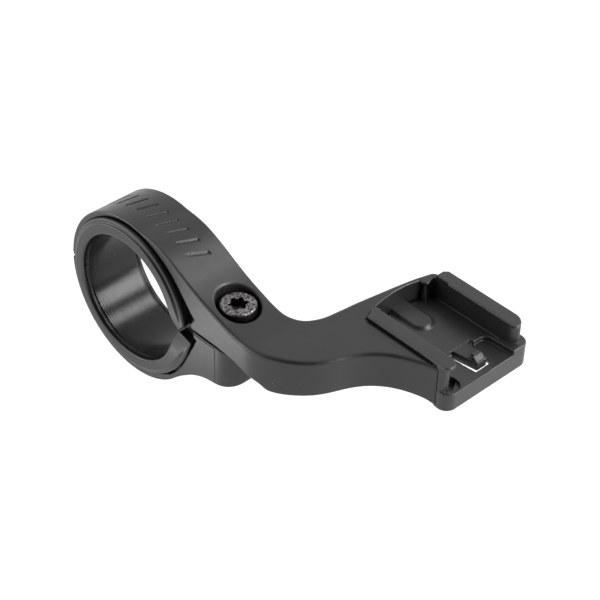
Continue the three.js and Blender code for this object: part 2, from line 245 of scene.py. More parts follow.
def surface(field, low, high, step):
    """Corners and quads of the surface where the distance is zero, one corner in each cell it crosses."""
    axes = [grid_axis(low[i], high[i], step) for i in range(3)]
    values = field(axes[0][:, None, None], axes[1][None, :, None], axes[2][None, None, :])
    values = np.broadcast_to(np.asarray(values, np.float32), [len(a) for a in axes])
    inside = values < 0
    crossings, numbers, turned = [], [], []
    for axis in range(3):
        first = np.take(inside, range(inside.shape[axis] - 1), axis)
        second = np.take(inside, range(1, inside.shape[axis]), axis)
        edge = np.argwhere(first != second)
        far = edge.copy()
        far[:, axis] += 1
        v0 = values[tuple(edge.T)]
        v1 = values[tuple(far.T)]
        place = edge.astype(float)
        place[:, axis] += v0 / (v0 - v1)
        u, v = (axis + 1) % 3, (axis + 2) % 3
        ring = []
        for du, dv in ((-1, -1), (0, -1), (0, 0), (-1, 0)):
            cell = edge.copy()
            cell[:, u] += du
            cell[:, v] += dv
            ring.append(cell_number(cell, inside.shape))
        crossings.append(place)
        numbers.append(np.stack(ring, axis=1))
        turned.append(v0 > 0)
    crossings = np.concatenate(crossings)
    numbers = np.concatenate(numbers)
    turned = np.concatenate(turned)
    quads = np.unique(numbers, return_inverse=True)[1].reshape(numbers.shape)
    share = np.bincount(quads.ravel())
    sums = [np.bincount(quads.ravel(), np.repeat(crossings[:, i], 4)) for i in range(3)]
    corners = np.stack([total / share for total in sums], axis=1) * step + np.array([a[0] for a in axes])
    quads[turned] = quads[turned][:, ::-1]
    move = onto_surface(field, corners, gradient(field, corners))
    limit = 0.6 * step / np.maximum(np.linalg.norm(move, axis=1), 0.6 * step)
    return corners + move * limit[:, None], quads


def sharpen_split(corners, whole, level, step):
    """Moves the corners beside the split at the back of the clamp onto its edge with the uncut shape."""
    near = (np.abs(corners[:, 2] - level) < 0.95 * step) & (np.abs(whole(*corners.T)) < 0.95 * step)
    near &= corners[:, 0] < SPLIT_FRONT
    edge = corners[near]
    edge[:, 2] = level
    for _ in range(2):
        slope = gradient(whole, edge)
        slope[:, 2] = 0
        edge += onto_surface(whole, edge, slope)
    corners[near] = edge


def split_normals(corners, whole, level, step):
    """Normals beside the split that follow the uncut shape, so that a closed split hardly shows.

    The rest are zero, which leaves them to Blender.
    """
    near = (np.abs(corners[:, 2] - level) < 2.5 * step) & (corners[:, 0] < SPLIT_FRONT)
    near &= np.abs(whole(*corners.T)) < 0.02
    normals = np.zeros(corners.shape)
    slope = gradient(whole, corners[near])
    normals[near] = slope / np.maximum(np.linalg.norm(slope, axis=1), 1e-6)[:, None]
    return normals


def moulding(name, body, node, field, low, high, step, material, whole=None, split=0.0):
    """A piece made from a distance, riding on a body in place of a CAD node.

    A piece that is split at the back also gives its whole shape and the height of the split.
    """
    corners, quads = surface(field, np.asarray(low, float), np.asarray(high, float), step)
    if whole:
        sharpen_split(corners, whole, split, step)
    mesh = bpy.data.meshes.new(name)
    mesh.vertices.add(len(corners))
    mesh.vertices.foreach_set("co", (corners * MM).ravel())
    mesh.loops.add(quads.size)
    mesh.loops.foreach_set("vertex_index", quads.ravel().astype(np.int32))
    mesh.polygons.add(len(quads))
    mesh.polygons.foreach_set("loop_start", np.arange(0, quads.size, 4, dtype=np.int32))
    mesh.polygons.foreach_set("use_smooth", np.ones(len(quads), bool))
    mesh.update(calc_edges=True)
    if whole:
        mesh.normals_split_custom_set_from_vertices(split_normals(corners, whole, split, step))
    mesh.materials.append(material)
    piece = bpy.data.objects.new(name, mesh)
    bpy.context.scene.collection.objects.link(piece)
    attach(piece, body)
    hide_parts(node)


# ---------- the arm ----------

TRAY_SEAM_X = 73.0
TRAY_REBATE = 0.35  # how far the tray is set in below its rail so that the arm can lie flush with it
TRAY_OVERLAP = 1.4  # how far the arm's end runs on into the tray's wall, past the rebate
NEAR_SIDE = smooth([(30, -7), (36, -7), (40, -6.95), (43.3, -6.25), (46.2, -5.05), (49.1, -3.35),
                    (51.4, -1.5), (53.3, 0.6), (54.6, 2.7), (55.6, 4.9), (56.6, 7.4), (57.8, 9.8),
                    (59.4, 12.1), (61.6, 14.3), (64.4, 16.2), (67.6, 17.7), (70.2, 18.7), (71.8, 19.3),
                    (TRAY_SEAM_X, 19.85)], 5)
FAR_SIDE = smooth([(47.95, 43), (47.3, 40.6), (46.65, 38), (45.85, 33.6), (45.05, 28.4), (44.15, 22.4),
                   (43.6, 17.4), (42.85, 12.7), (40.85, 9.15), (37.4, 7.35), (33, 7)], 6)
ARM_PLAN = [(-30, -7), *NEAR_SIDE, (TRAY_SEAM_X, 30), (50.2, 43.9), (48.9, 43.9), *FAR_SIDE, (-30, 7)]

ARM_CREST = smooth([(4.6, 20.65), (7.2, 20.45), (10.5, 19.85), (14, 18.6), (18, 16.7), (22, 14.75),
                    (26, 13.05), (30, 11.7), (33.5, 10.6), (37, 9.85), (40.5, 9.5), (44, ARM_TOP)], 4)
ARM_UNDERSIDE = smooth([(80, -2), (72.5, -1.3), (70, -0.6), (66.5, -0.25), (60, -0.1), (54, -0.1),
                        (50, -0.35), (47, -0.55), (45.2, -0.4), (44.2, 0.1), (43.2, 0.7), (41.4, 1.3),
                        (38.5, 2.1), (34.5, 2.95), (30.5, SLIT_TOP)], 4)
ARM_SIDE = [*arc(-0.2, -0.4, BAND_RADIUS + 0.2, 181, 79, 40), *ARM_CREST, (80, ARM_TOP), *ARM_UNDERSIDE,
            (16, SLIT_TOP), (15.9, -0.3)]

SEAT_CREST = smooth([(4.6, 19.85), (7.8, 18.75), (11.2, 17.2), (14.6, 14.8), (17.9, 11.4), (21.2, 7.6)], 4)
SEAT_NOSE = [(0, 19), *SEAT_CREST, (22.5, 6.6), (21.15, 4.7), (21.5, SLIT_TOP - 1), (0, SLIT_TOP - 1)]

BOWED_WALL = smooth([(48.3, 24.4), (47.75, 28), (47.45, 32), (47.7, 35.6), (48.3, 38.2)], 4)
RAIL_BACK = 50.35
POCKET_SIDE = TRAY_LEFT + TRAY_REBATE - 0.1
POCKET = [(80, POCKET_SIDE), (50.3, POCKET_SIDE), (48.75, 23.65), (49.9, 23.95), (49.75, 24.7), *BOWED_WALL,
          (48.6, 40), (49.3, 41.6), (RAIL_BACK - 0.05, 41.9), (RAIL_BACK - 0.05, 50), (80, 50)]
LUG = [(48, 38.7), (48.9, 38.7), *arc(49.3, 39.7, 1, 265, 380, 8), (49.9, 41.3), (49.5, 42.4), (48.6, 42.4)]
LUG_BOTTOM = 8.5
LUG_POST = (49.35, 39.5)
GROOVE_SIDE = TRAY_LEFT - 0.4
GROOVE = [(70.6, GROOVE_SIDE + 0.3), (69.6, GROOVE_SIDE), (50.2, GROOVE_SIDE), (48.25, 23.6), (48.5, 23.95),
          (50, 23.95), (70.6, 23.95)]
GROOVE_FLOOR = 9.1


def knuckles(x, y, z, half_length, web_side):
    """The hinge's barrel, with a web that joins it to the band above (1) or below (-1) the split."""
    web = np.maximum(between(x, HINGE_X, KNUCKLE_WEB_FRONT), between(z * web_side, GAP / 2, KNUCKLE_RADIUS))
    return both(np.minimum(disc(x - HINGE_X, z, KNUCKLE_RADIUS), web), np.abs(y) - half_length, 0.2)


def knuckle_room(x, y, z):
    return disc(x - HINGE_X, z, KNUCKLE_RADIUS + GAP)


def flange_seat(x, y, z, nose):
    """The stepped recess that the liner's flanges lie in, with room to spare only beside the mouth."""
    around = np.abs(np.arctan2(z, x))
    opens = np.where(z < 0, JAW_SEAT_OPENS, SEAT_OPENS)
    tight = np.clip((around - opens) / math.radians(30), 0, 1) * (SEAT_RADIUS - FLANGE_RADIUS - 0.02)
    seat = np.minimum(disc(x, z, SEAT_RADIUS) + tight, outline_distance(nose, x, z))
    return np.maximum(seat, SEAT_Y - np.abs(y))


SLOPE_STRETCH = 1.06  # length along the slope for each millimetre along X


def band_run(x, z):
    """Length along the band's crest, from its top."""
    around = BAND_RADIUS * np.arctan2(x, np.maximum(z, 0.1))
    return np.where(x < 0, around, SLOPE_STRETCH * x)


ORNAMENT_START = -13.0
ORNAMENT_Y = 0.2
ORNAMENT_SLANT = 0.35
ORNAMENT_PITCH = 3.7
ORNAMENT_COUNT = 9
ORNAMENT_HALF_LENGTH = 2.6
ORNAMENT_HALF_WIDTH = 0.33
ORNAMENT_DEPTH = 0.3


def ornament(x, y, z):
    """A row of slanting strokes cut into the band's crest: plain decoration."""
    run = band_run(x, z) - ORNAMENT_SLANT * y - ORNAMENT_START
    nearest = np.clip(np.round(run / ORNAMENT_PITCH), 0, ORNAMENT_COUNT - 1)
    across = np.abs(run - nearest * ORNAMENT_PITCH) - ORNAMENT_HALF_WIDTH
    stroke = np.maximum(across, np.abs(y - ORNAMENT_Y) - ORNAMENT_HALF_LENGTH)
    return np.where(z > 5, stroke, 5)


BAND_EDGE = 0.3
SOFTER_EDGE = 0.75  # how much more the upper edges are rounded past the slope
POST_RADIUS = 1.05
POST_TAPER = 0.16


def arm(x, y, z, split=True):
    """The upper half of the clamp band, the slope, the sweep and the end that holds the tray."""
    side = outline_distance(ARM_SIDE, x, z)
    plan = outline_distance(ARM_PLAN, x, y)
    edge = BAND_EDGE + SOFTER_EDGE * np.clip((x - 18) / 20, 0, 1) * np.clip((z - 4) / 3, 0, 1)
    body = both(side, plan, edge)
    if split:
        body = cut(body, np.maximum(z - SEAM, x - SPLIT_FRONT))
    body = cut(body, np.maximum(ornament(x, y, z), -side - ORNAMENT_DEPTH), 0.05)
    body = np.minimum(body, knuckles(x, y, z, KNUCKLE_HALF_LENGTH, 1))
    body = cut(body, disc(x, z, CLAMP_BORE_RADIUS), 0.1)
    body = cut(body, flange_seat(x, y, z, SEAT_NOSE), 0.12)
    body = cut(body, np.maximum(knuckle_room(x, y, z), np.abs(y) - CENTRE_KNUCKLE_HALF - GAP), 0.1)
    body = cut(body, disc(x - HINGE_X, z, PIN_RADIUS + GAP))
    body = cut(body, np.maximum(disc(x - SCREW_X, y, COUNTERBORE_RADIUS), COUNTERBORE_FLOOR - z), 0.4)
    body = cut(body, disc(x - SCREW_X, y, SCREW_HOLE_RADIUS), 0.1)
    pocket = outline_distance(POCKET, x, y)
    lug = both(outline_distance(LUG, x, y), between(z, LUG_BOTTOM, ARM_TOP), 0.2)
    post = np.hypot(x - LUG_POST[0], y - LUG_POST[1]) - POST_RADIUS + POST_TAPER * (z - FLOOR_TOP)
    post = np.maximum(post * 0.98, between(z, FLOOR_TOP - 0.5, LUG_BOTTOM + 0.3))
    body = cut(body, pocket, 0.2)
    groove = np.maximum(outline_distance(GROOVE, x, y), GROOVE_FLOOR - z)
    body = cut(body, groove, 0.15)
    return np.minimum(body, np.minimum(lug, post))


def whole_arm(x, y, z):
    return arm(x, y, z, split=False)


# ---------- the lower jaw ----------

JAW_BELLY = arc(-0.15, -0.4, BAND_RADIUS + 0.25, 181, 312, 48)
JAW_WAIST = smooth([(15.2, -15.45), (17.4, -13.5), (19.4, -11.95), (21.3, -10.6), (23.4, -9.5), (26, -8.55),
                    (28.8, -8), (31.5, -7.6), (33.4, -7.1), (34.9, -6.25), (35.9, -4.9), (36.4, -3.2),
                    (36.5, -1.5)], 4)
JAW_SIDE = [*JAW_BELLY, *JAW_WAIST, (36.5, 1.9), (34, 2.35), (30.5, SLIT_BOTTOM), (0, SLIT_BOTTOM), (0, 0)]
JAW_NOSE = [(0, -19), (13.4, -15.5), (15.4, -13.55), (17.6, -10.6), (19.25, -7.35), (20.4, -5.1),
            (21.3, -3.05), (22.3, -0.95), (23.05, 0.8), (22.1, 1.25), (22, 2.4), (22.5, 8), (0, 8)]


def boss_plan(x, y):
    """The clamp's parallel sides, rounded off about the screw."""
    return np.where(x > SCREW_X, disc(x - SCREW_X, y, BAND_HALF_WIDTH), np.abs(y) - BAND_HALF_WIDTH)


def hexagon(a, b, apothem):
    """Distance to a hexagon with two sides square to b."""
    return np.maximum(np.abs(b), np.abs(a) * math.cos(math.pi / 6) + np.abs(b) / 2) - apothem


def jaw(x, y, z, split=True):
    """The lower half of the clamp band, with the boss that holds the nut."""
    body = both(outline_distance(JAW_SIDE, x, z), boss_plan(x, y), BAND_EDGE)
    if split:
        body = cut(body, np.maximum(-z - SEAM, x - SPLIT_FRONT))
    beside = between(np.abs(y), CENTRE_KNUCKLE_HALF, KNUCKLE_HALF_LENGTH + GAP)
    body = cut(body, np.maximum(knuckle_room(x, y, z), beside), 0.1)
    body = np.minimum(body, knuckles(x, y, z, CENTRE_KNUCKLE_HALF, -1))
    body = cut(body, disc(x, z, CLAMP_BORE_RADIUS), 0.1)
    body = cut(body, flange_seat(x, y, z, JAW_NOSE), 0.12)
    body = cut(body, disc(x - HINGE_X, z, PIN_RADIUS + GAP))
    body = cut(body, disc(x - SCREW_X, y, SCREW_HOLE_RADIUS), 0.1)
    pocket = hexagon(y, x - SCREW_X, (NUT_HIGH[0] - NUT_LOW[0]) / 2 + GAP)
    return cut(body, np.maximum(pocket, z - NUT_HIGH[2] - GAP), 0.2)


def whole_jaw(x, y, z):
    return jaw(x, y, z, split=False)


# ---------- the liner ----------

LINER_SECTION = [
    (15.9, -7.75), (15.98, -8.15), (16.2, -8.5), (16.6, -8.66), (18.45, -8.66), (18.66, -8.58),
    (18.78, -8.4), (18.84, -8.12), (18.98, -7.98), (19.35, -7.95), (19.62, -7.85), (19.78, -7.65),
    (19.85, -7.4), (19.85, -5.5), (17.6, -5.5),
]
LINER_SECTION = [(r, y * LINER_HALF_WIDTH / 8.66) for r, y in LINER_SECTION]
LINER_SECTION = LINER_SECTION + [(r, -y) for r, y in reversed(LINER_SECTION)]
MOUTH_SPREAD = math.radians(22.4)
MOUTH_APEX = BAR_RADIUS / math.cos(MOUTH_SPREAD)
MOUTH = [(MOUTH_APEX - 0.25, 0), (MOUTH_APEX + 0.2, 0), (MOUTH_APEX + 8, -1.6), (30, 0),
         (MOUTH_APEX + 4.4, 5.6)]
BULGE_REACH = math.radians(50)  # to each side of the mouth, where the lower flange swells
BULGE = 1.9
SET_BACK_REACH = math.radians(22)  # to each side of the mouth, where the flange's face slopes back
SET_BACK = 1.5
GRIP_GROOVE_Y = 7.1
GRIP_GROOVE_HALF_WIDTH = 0.22
GRIP_GROOVE_DEPTH = 0.16


def liner(x, y, z):
    """The whole flanged sleeve, with its teardrop mouth at the front."""
    around = np.abs(np.arctan2(z, x))
    bulge = np.where(z < 0, BULGE * np.clip(1 - around / BULGE_REACH, 0, 1) ** 1.9, 0)
    radius = np.hypot(x, z)
    share = np.clip((radius - LINER_BODY_RADIUS) / (FLANGE_RADIUS - LINER_BODY_RADIUS), 0, 1)
    body = outline_distance(LINER_SECTION, radius - bulge * share, y)
    set_back = SET_BACK * np.clip(1 - around / SET_BACK_REACH, 0, 1) ** 1.4
    body = both(body, np.abs(y) - LINER_HALF_WIDTH + set_back, 0.3)
    teardrop = x * math.cos(MOUTH_SPREAD) + np.abs(z) * math.sin(MOUTH_SPREAD) - BAR_RADIUS
    teardrop = np.where((around < MOUTH_SPREAD) & (x > 0), teardrop, 1)
    body = cut(body, teardrop, 0.3)
    groove = np.abs(np.abs(y) - GRIP_GROOVE_Y) - GRIP_GROOVE_HALF_WIDTH
    body = cut(body, np.maximum(groove, radius - BAR_RADIUS - GRIP_GROOVE_DEPTH), 0.05)
    return cut(body, outline_distance(MOUTH, x, z), 0.12)


def liner_upper(x, y, z):
    return np.maximum(liner(x, y, z), SEAM - z)


def liner_lower(x, y, z):
    return np.maximum(liner(x, y, z), SEAM + z)


# ---------- the tray ----------

LEFT_WALL = TRAY_LEFT + RAIL_WIDTH
RIGHT_WALL = RIGHT_RAIL_OUTER - RAIL_WIDTH
LIP = 0.45
RAIL_EDGE = 0.28


def tray_plan():
    front = TRAY_FRONT - TRAY_CORNER
    back = [(x + GAP, y) for x, y in reversed(BOWED_WALL)]
    return [(50.4, TRAY_LEFT), *arc(front, TRAY_LEFT + TRAY_CORNER, TRAY_CORNER, -90, 0, 10),
            *arc(front, TRAY_RIGHT - TRAY_CORNER, TRAY_CORNER, 0, 90, 10), (51.6, TRAY_RIGHT),
            (RAIL_BACK, 44.9), (RAIL_BACK, 42.1), (49.6, 41.6), (48.9, 40), *back[1:-1],
            (49.85, 24.6), (49.6, 23.6), (49.1, 23.5)]


TRAY_PLAN = tray_plan()
LEFT_CAP = [(49.1, LEFT_WALL), (50.4, TRAY_LEFT), *arc(RAIL_FRONT - 1.3, TRAY_LEFT + 1.3, 1.3, -90, 0, 8),
            *arc(RAIL_FRONT - 2, LEFT_WALL - 2, 2, 0, 90, 8)]
LEFT_POST = [(49.1, LEFT_WALL), (50.4, TRAY_LEFT), *arc(72.2, TRAY_LEFT + 1.7, 1.7, -90, 0, 8),
             *arc(72.4, LEFT_WALL - 2.25, 1.5, 0, 90, 8), (71.5, LEFT_WALL - 0.7), (70.2, LEFT_WALL)]
RIGHT_CAP = [(RAIL_BACK, RIGHT_WALL), *arc(RAIL_FRONT - 0.8, RIGHT_WALL + 0.8, 0.8, -90, 0, 6),
             *arc(RAIL_FRONT - 3.1, RIGHT_RAIL_OUTER - 3.1, 3.1, 0, 90, 10),
             (51.3, RIGHT_RAIL_OUTER), (RAIL_BACK, 44.3)]
RIGHT_POST_FRONT = smooth([(70.5, RIGHT_WALL + 0.45), (72.2, RIGHT_WALL + 0.75), (73.3, RIGHT_WALL + 1.3),
                           (74, RIGHT_WALL + 2.1), (74.2, RIGHT_WALL + 2.8), (73.6, RIGHT_WALL + 3.3),
                           (70, RIGHT_RAIL_OUTER - 0.05)], 3)
RIGHT_POST = [(RAIL_BACK, RIGHT_WALL), *RIGHT_POST_FRONT, (51.3, RIGHT_RAIL_OUTER - 0.1), (RAIL_BACK, 44.2)]
CAP_THICKNESS = 0.9
LIP_BACK = 54.4
LIP_BOTTOM = 8.35
LIP_RISE = 0.16  # per millimetre, from LIP_RISES_FROM on
LIP_RISES_FROM = 68.5


def rails(x, y, z):
    """The two rails, each with a thin overhanging cap and undercut below its lip."""
    cap = between(z, RAIL_TOP - CAP_THICKNESS, RAIL_TOP)
    below = between(z, 0, RAIL_TOP - CAP_THICKNESS / 2)
    lip_bottom = LIP_BOTTOM + LIP_RISE * np.clip(x - LIP_RISES_FROM, 0, 6)
    left = both(outline_distance(LEFT_CAP, x, y), cap, RAIL_EDGE)
    left = either(left, np.maximum(outline_distance(LEFT_POST, x, y), below))
    right = both(outline_distance(RIGHT_CAP, x, y), cap, RAIL_EDGE)
    right = either(right, np.maximum(outline_distance(RIGHT_POST, x, y), below))
    left = cut(left, np.maximum(LEFT_WALL - LIP - y, z - lip_bottom), 0.12)
    right = cut(right, np.maximum(y - RIGHT_WALL - LIP, z - lip_bottom), 0.12)
    return np.minimum(left, cut(right, np.maximum(y - RIGHT_WALL - LIP, x - LIP_BACK), 0.12))


PAD_Y = 32.9
PAD_HALF_WIDTH = 3.1
PAD_FRONT = 57.9
PAD_RISE = 0.85
PAD_SPREAD = 0.9  # how far its sides lean out for each millimetre of height


def pad(x, y, z):
    """The raised tongue-shaped pad at the back of the floor, with sloping sides."""
    across = (PAD_Y - PAD_HALF_WIDTH, PAD_Y + PAD_HALF_WIDTH)
    plan = rounded_rectangle(x, y, (40, PAD_FRONT), across, PAD_HALF_WIDTH)
    slope = (plan + PAD_SPREAD * (z - FLOOR_TOP)) * 0.74
    return both(both(slope, z - FLOOR_TOP - PAD_RISE, 0.1), FLOOR_TOP - 1 - z)


STEP_BACK = 67.3
STEP_RIGHT = 40.9
STEP_LINE = [(90, 20), (90, STEP_RIGHT + 0.4), (74, STEP_RIGHT + 0.25), (70.5, STEP_RIGHT),
             *arc(STEP_BACK + 1.9, STEP_RIGHT - 1.95, 1.9, 90, 180, 8), (STEP_BACK, 33), (STEP_BACK, 20)]
TONGUE_ROOT = TONGUE_LOW[0]
TONGUE_TIP = TONGUE_HIGH[0]
TONGUE_LEFT = TONGUE_LOW[1]
TONGUE_RIGHT = TONGUE_HIGH[1]
TONGUE_PLAN = [(TONGUE_ROOT - 0.35, TONGUE_LEFT - 0.05), (TONGUE_TIP, TONGUE_LEFT + 1.1),
               (TONGUE_TIP, TONGUE_RIGHT - 0.7), (TONGUE_ROOT - 0.35, TONGUE_RIGHT)]
WINDOW_PLAN = [(TONGUE_ROOT, TONGUE_LEFT - 0.85), (TONGUE_TIP + 0.75, TONGUE_LEFT - 0.1),
               (TONGUE_TIP + 0.75, TONGUE_RIGHT + 0.3), (TONGUE_ROOT, TONGUE_RIGHT + 0.3)]
RAMP_LENGTH = 4.2


def floor_height(x, y):
    """How high the floor's top is: a crisp step down on the right, and a long ramp on the left."""
    ramp = np.clip((x - TONGUE_ROOT) / RAMP_LENGTH, 0, 1)
    ramp = FLOOR_TOP - (FLOOR_TOP - STEP_TOP) * ramp * ramp * (3 - 2 * ramp)
    return np.where(y < (TONGUE_LEFT + TONGUE_RIGHT) / 2, ramp, FLOOR_TOP)


WELL_FLOOR = 2.0
PIT_FLOOR = 0.9
PIT_BACK = (71.9, 24.9)
PIT_RUN = (1.2, -2)
PIT_RADIUS = 0.8
WALL_THICKNESS = 1.9
LOW_THICKNESS = 1.25
SOLID_CORNER = (68.6, 27.4)
RIB_PLACES = (28.2, 38.2)
RIB_HALF_WIDTH = 0.6
RIB_FRONT = 64
ROOT_HOLE = (66.95, 36.3)
ROOT_HOLE_RADIUS = 0.7


def front_well(x, y, z):
    """The shallow well in front of the left rail, and the slanting pit sunk in it."""
    well = rounded_rectangle(x, y, (69.6, TRAY_FRONT - 0.45), (TRAY_LEFT + 0.9, 25.6), 2.5)
    a, b = x - PIT_BACK[0], y - PIT_BACK[1]
    along = np.clip((a * PIT_RUN[0] + b * PIT_RUN[1]) / (PIT_RUN[0] ** 2 + PIT_RUN[1] ** 2), 0, 1)
    pit = disc(a - PIT_RUN[0] * along, b - PIT_RUN[1] * along, PIT_RADIUS)
    return np.minimum(both(well, WELL_FLOOR - z), both(pit, PIT_FLOOR - z))


def hollow_below(x, y, z, plan):
    """The hollow under the floor, with two ribs, which leaves the corner below the well solid."""
    hollow = np.maximum(plan + WALL_THICKNESS, z - FLOOR_TOP + FLOOR_THICKNESS)
    hollow = np.maximum(hollow, np.where(x > 60, z - STEP_TOP + LOW_THICKNESS, -1))
    hollow = cut(hollow, np.maximum(SOLID_CORNER[0] - x, y - SOLID_CORNER[1]))
    ribs = np.minimum(np.abs(y - RIB_PLACES[0]), np.abs(y - RIB_PLACES[1])) - RIB_HALF_WIDTH
    return np.maximum(hollow, -np.maximum(ribs, x - RIB_FRONT))


def tray(x, y, z):
    """The tray's floor and rails, with the window that the tongue lies in."""
    plan = outline_distance(TRAY_PLAN, x, y)
    lifted = 0.3 * np.clip((TRAY_SEAM_X - x) / 3, 0, 1) * np.clip((23 - y) / 3, 0, 1)
    body = both(plan, between(z, TRAY_BOTTOM + lifted, FLOOR_TOP), 0.35)
    body = np.maximum(body, z - floor_height(x, y))
    low_front = np.maximum(outline_distance(STEP_LINE, x, y), STEP_TOP - z)
    body = cut(body, low_front, 0.25)
    body = cut(body, front_well(x, y, z), 0.15)
    body = either(body, rails(x, y, z), 0.12)
    body = cut(body, hollow_below(x, y, z, plan), 0.2)
    body = either(body, pad(x, y, z), 0.15)
    rebate = np.maximum(y - TRAY_LEFT - TRAY_REBATE, x - TRAY_SEAM_X + TRAY_OVERLAP)
    body = cut(body, np.maximum(rebate, z - RAIL_TOP + CAP_THICKNESS), 0.05)
    window = outline_distance(WINDOW_PLAN, x, y)
    root_hole = disc(x - ROOT_HOLE[0], y - ROOT_HOLE[1], ROOT_HOLE_RADIUS)
    return cut(body, np.minimum(window, root_hole), 0.1)


CATCH_BACK = 70.3
CATCH_TOP = TONGUE_HIGH[2]
CATCH_SLOPE = 0.85
CATCH_SLOPES_FROM = 71.6
BLADE_THICKNESS = 2.2


def tongue(x, y, z):
    """The flexing tongue, whose root dips under the floor that it grows from, and the wedge-shaped catch."""
    plan = outline_distance(TONGUE_PLAN, x, y)
    top = FLOOR_TOP - 0.15 * np.maximum(TONGUE_ROOT - 0.05 - x, 0)
    blade = both(plan, np.maximum(FLOOR_TOP - BLADE_THICKNESS - z, z - top), 0.1)
    slope = (z - CATCH_TOP + (x - CATCH_SLOPES_FROM) * CATCH_SLOPE) * 0.76
    catch = np.maximum(CATCH_BACK - x, x - TONGUE_TIP + 0.1)
    catch = both(catch, between(z, FLOOR_TOP - 0.5, CATCH_TOP), 0.1)
    catch = both(catch, slope, 0.1)
    catch = both(catch, between(y, TONGUE_LEFT + 1.15, TONGUE_RIGHT - 0.85), 0.12)
    notch = np.maximum(y - TONGUE_LEFT - 1.7, np.maximum(x - 71.3, FLOOR_TOP + 0.35 - z))
    return np.minimum(blade, cut(catch, notch, 0.08))


# ---------- screw, washer, nut and pin ----------

SOCKET_RADIUS = 2.0
SOCKET_DEPTH = 2.8


def screw(x, y, z):
    """A cap screw with a six-lobed socket and a thread below the counterbore."""
    a, b = x - SCREW_X, y
    radius = np.hypot(a, b)
    angle = np.arctan2(b, a)
    head = both(radius - HEAD_RADIUS, between(z, HEAD_TOP - HEAD_HEIGHT, HEAD_TOP), 0.55)
    turn = z / THREAD_PITCH - angle / (2 * math.pi)
    thread = np.abs(turn - np.round(turn)) * 2 * THREAD_DEPTH * (z < COUNTERBORE_FLOOR - 1)
    shank = both(radius - SHANK_RADIUS + thread, between(z, SCREW_LOW[2], HEAD_TOP - 2), 0.5)
    lobes = radius - SOCKET_RADIUS - 0.33 * np.cos(6 * angle) - 0.04 * np.cos(12 * angle)
    socket = np.maximum(lobes * 0.75, HEAD_TOP - SOCKET_DEPTH + 0.25 * radius - z)
    return cut(np.minimum(head, shank * 0.8), socket, 0.12)


def washer(x, y, z):
    outer = (WASHER_HIGH[0] - WASHER_LOW[0]) / 2
    ring = both(disc(x - SCREW_X, y, outer), SHANK_RADIUS + GAP - np.hypot(x - SCREW_X, y))
    return both(ring, between(z, WASHER_LOW[2], WASHER_HIGH[2]), 0.2)


NUT_CHAMFER_RADIUS = 4.1
NUT_COUNTERSINK = 0.35


def nut(x, y, z):
    """A hexagonal nut with chamfered corners and a countersunk bore."""
    side = hexagon(y, x - SCREW_X, (NUT_HIGH[0] - NUT_LOW[0]) / 2)
    body = both(side, between(z, NUT_LOW[2], NUT_HIGH[2]), 0.1)
    radius = np.hypot(x - SCREW_X, y)
    ends = np.minimum(z - NUT_LOW[2], NUT_HIGH[2] - z)
    body = np.maximum(body, (radius - NUT_CHAMFER_RADIUS - ends * 1.6) * 0.55)
    bore = SCREW_HOLE_RADIUS + np.clip(NUT_COUNTERSINK - ends, 0, NUT_COUNTERSINK) - radius
    return np.maximum(body, bore * 0.8)


def pin(x, y, z):
    return both(disc(x - HINGE_X, z, PIN_RADIUS), np.abs(y) - PIN_HIGH[1], 0.2)


# ---------- materials ----------


class Nodes:
    """Builds a material node by node."""

    def __init__(self, name):
        self.material = bpy.data.materials.new(name)
        self.material.use_nodes = True
        self.tree = self.material.node_tree
        self.tree.nodes.clear()
        self.out = self.add("ShaderNodeOutputMaterial")
        self.shader = self.add("ShaderNodeBsdfPrincipled")
        self.link(self.shader.outputs[0], self.out.inputs[0])
        self.place = self.add("ShaderNodeTexCoord").outputs["Object"]

    def add(self, kind, **settings):
        node = self.tree.nodes.new(kind)
        for key, value in settings.items():
            setattr(node, key, value)
        return node

    def link(self, source, target):
        self.tree.links.new(source, target)

    def noise(self, size_mm, detail=2.0, roughness=0.5):
        node = self.add("ShaderNodeTexNoise")
        node.inputs["Scale"].default_value = 1 / (size_mm * MM)
        node.inputs["Detail"].default_value = detail
        node.inputs["Roughness"].default_value = roughness
        self.link(self.place, node.inputs["Vector"])
        return node.outputs["Fac"]

    def ramp(self, source, low, high, start, end):
        """Maps start..end of a value to low..high."""
        node = self.add("ShaderNodeMapRange")
        node.inputs["From Min"].default_value = start
        node.inputs["From Max"].default_value = end
        node.inputs["To Min"].default_value = low
        node.inputs["To Max"].default_value = high
        self.link(source, node.inputs["Value"])
        return node.outputs["Result"]

    def math(self, operation, a, b):
        node = self.add("ShaderNodeMath", operation=operation)
        for socket, value in zip(node.inputs, (a, b)):
            if isinstance(value, (int, float)):
                socket.default_value = value
            else:
                self.link(value, socket)
        return node.outputs[0]

    def mix(self, factor, first, second):
        node = self.add("ShaderNodeMix", data_type="RGBA")
        for socket, value in zip((node.inputs[0], node.inputs[6], node.inputs[7]), (factor, first, second)):
            if isinstance(value, (int, float)):
                socket.default_value = value
            elif isinstance(value, tuple):
                socket.default_value = (*value, 1)
            else:
                self.link(value, socket)
        return node.outputs[2]

    def bump(self, height, distance_mm, strength=1.0, below=None):
        node = self.add("ShaderNodeBump")
        node.inputs["Strength"].default_value = strength
        node.inputs["Distance"].default_value = distance_mm * MM
        self.link(height, node.inputs["Height"])
        if below is not None:
            self.link(below, node.inputs["Normal"])
        return node.outputs["Normal"]

    def put(self, name, value):
        socket = self.shader.inputs[name]
        if isinstance(value, (int, float)):
            socket.default_value = value
        elif isinstance(value, tuple):
            socket.default_value = (*value, 1)
        else:
            self.link(value, socket)


BORE_EDGE = (16.0 * MM, 16.25 * MM)  # the radii that the smooth bore ends between


